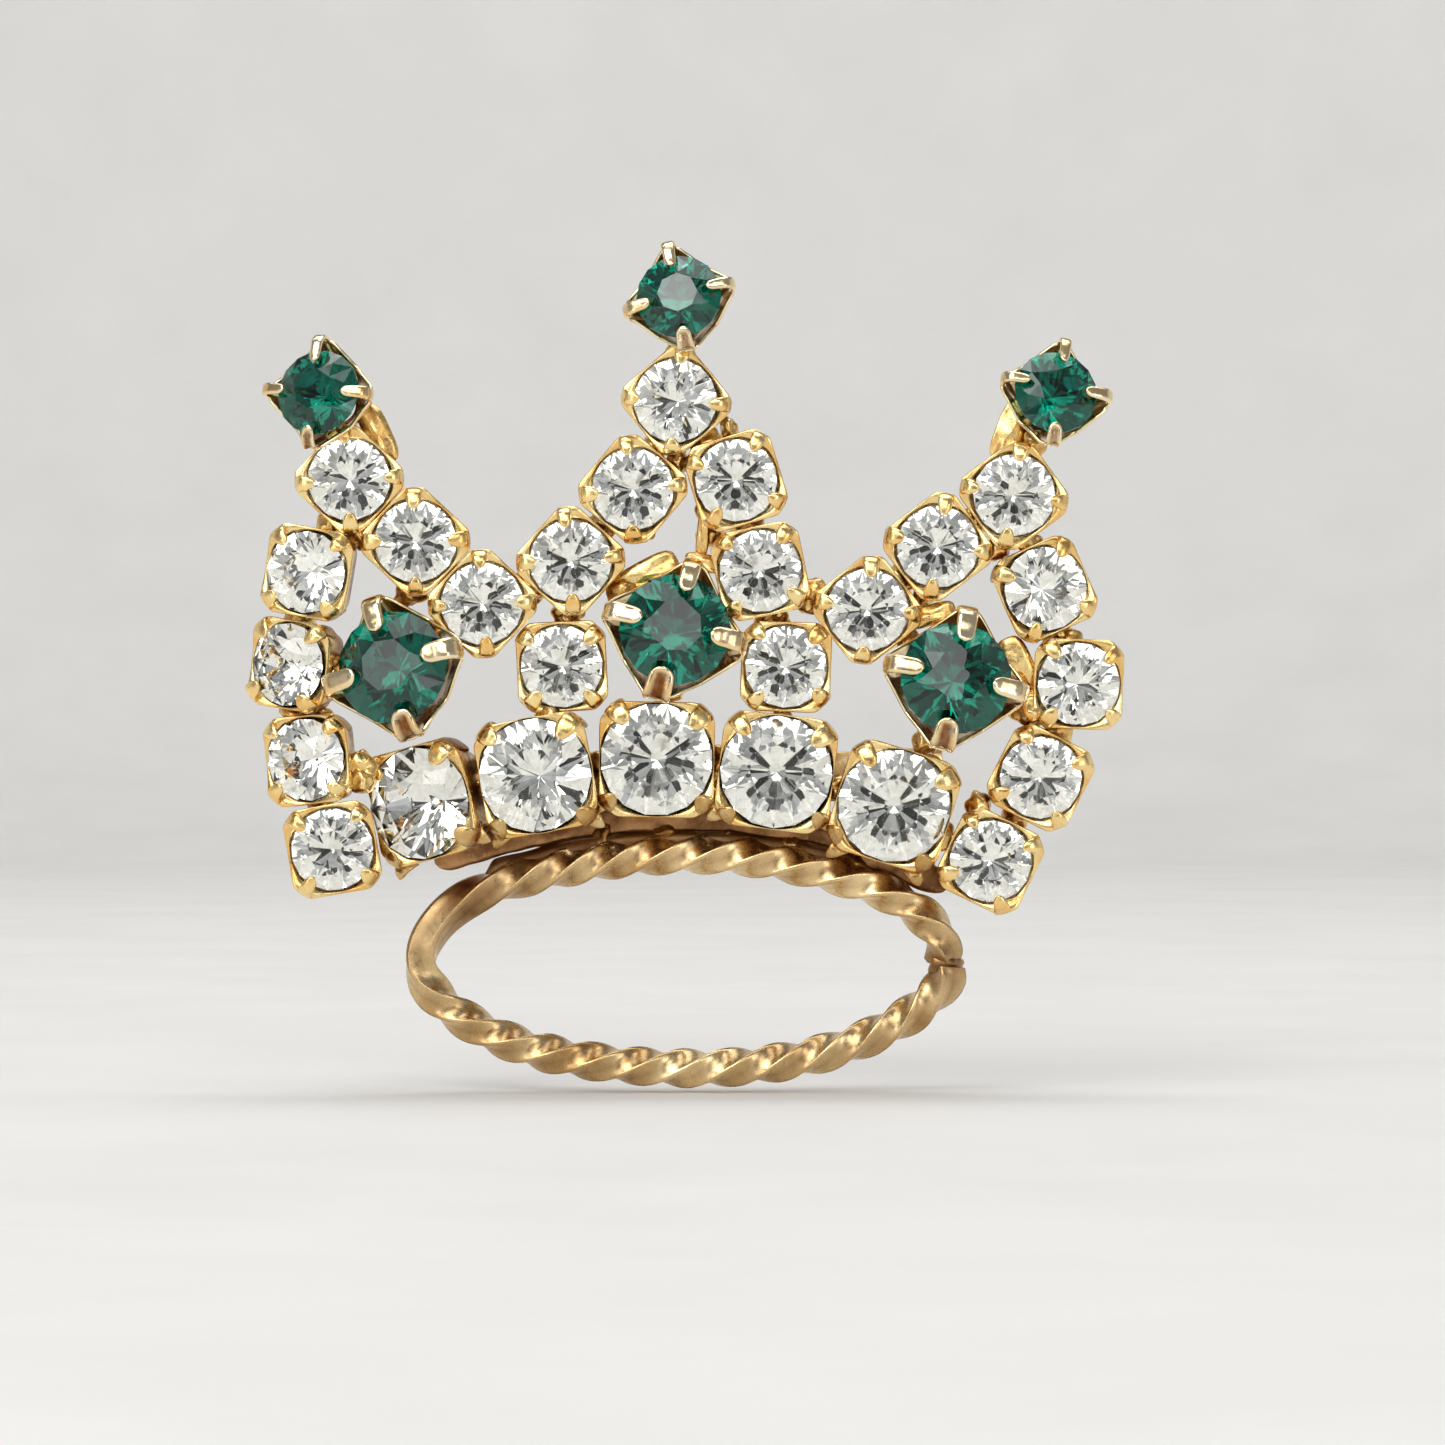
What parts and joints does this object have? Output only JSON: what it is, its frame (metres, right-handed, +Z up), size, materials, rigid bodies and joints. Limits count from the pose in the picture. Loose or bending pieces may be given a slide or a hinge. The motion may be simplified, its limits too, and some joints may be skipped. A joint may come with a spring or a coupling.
{
  "type": "rhinestone crown brooch",
  "caption": "Pointed crown brooch of square prong cups and claw settings with clear and green stones, a twisted wire ring below, and a hinged pin with a turning safety catch behind.",
  "frame": {"origin": "middle of the pin stem's straight stretch, on its axis", "axes": "+X along the pin stem from its hinge to its point; the stones face -Y and the pin is on the +Y side; +Z up to the crown's points"},
  "size_m": [0.0419, 0.0095, 0.0405],
  "materials": {
    "cup_gold": "bright gold plate, slightly worn",
    "claw_gold": "bright gold plate, slightly worn",
    "aged_gold_wire": "brushed and aged gold plate",
    "copper_strip": "worn plate with copper showing",
    "solder": "plated solder, lumpy",
    "pin_back_gold": "satin gold plate",
    "catch_gold": "satin gold plate",
    "pin_steel": "drawn wire",
    "crystal_glass": "faceted clear glass with a foiled back",
    "emerald_glass": "faceted green glass with a foiled back"
  },
  "bodies": {
    "crown": {"left_arm_cup_1": "cup_gold", "left_arm_cup_2": "cup_gold", "left_arm_cup_3": "cup_gold", "left_side_cup_1": "cup_gold", "left_side_cup_2": "cup_gold", "left_side_cup_3": "cup_gold", "left_side_cup_4": "cup_gold", "crest_cup_1": "cup_gold", "crest_cup_2": "cup_gold", "crest_cup_3": "cup_gold", "crest_cup_4": "cup_gold", "crest_side_cup_1": "cup_gold", "crest_side_cup_2": "cup_gold", "crest_side_cup_3": "cup_gold", "right_arm_cup_1": "cup_gold", "right_arm_cup_2": "cup_gold", "right_arm_cup_3": "cup_gold", "right_side_cup_1": "cup_gold", "right_side_cup_2": "cup_gold", "right_side_cup_3": "cup_gold", "right_side_cup_4": "cup_gold", "base_cup_1": "cup_gold", "base_cup_2": "cup_gold", "base_cup_3": "cup_gold", "base_cup_4": "cup_gold", "base_cup_5": "cup_gold", "left_claw_setting": "claw_gold", "centre_claw_setting": "claw_gold", "right_claw_setting": "claw_gold", "left_point_claw_setting": "claw_gold", "centre_point_claw_setting": "claw_gold", "right_point_claw_setting": "claw_gold", "left_arm_stones": "crystal_glass", "left_side_stones": "crystal_glass", "crest_stones": "crystal_glass", "crest_side_stones": "crystal_glass", "right_arm_stones": "crystal_glass", "right_side_stones": "crystal_glass", "base_stone_1": "crystal_glass", "base_stone_2": "crystal_glass", "base_stone_3": "crystal_glass", "base_stone_4": "crystal_glass", "base_stone_5": "crystal_glass", "left_green_stone": "emerald_glass", "centre_green_stone": "emerald_glass", "right_green_stone": "emerald_glass", "left_point_green_stone": "emerald_glass", "centre_point_green_stone": "emerald_glass", "right_point_green_stone": "emerald_glass", "backing_strip": "copper_strip", "twisted_ring": "aged_gold_wire", "solder_joints": "solder", "pin_bar": "pin_back_gold", "hinge_bracket": "pin_back_gold", "hinge_rivet": "pin_back_gold", "catch_housing": "pin_back_gold"},
    "pin_arm": {"pin_stem": "pin_steel"},
    "catch_lock": {"safety_barrel": "catch_gold"}
  },
  "joints": [
    {"name": "pin_hinge", "type": "hinge", "parent": "crown", "child": "pin_arm", "pos_m": [-0.01, 0, 0], "axis": [0, 0, 1], "range_deg": [0, 95]},
    {"name": "barrel_turn", "type": "hinge", "parent": "crown", "child": "catch_lock", "pos_m": [0.0099, 0, 0], "axis": [-1, 0, 0], "range_deg": [0, 110]}
  ]
}
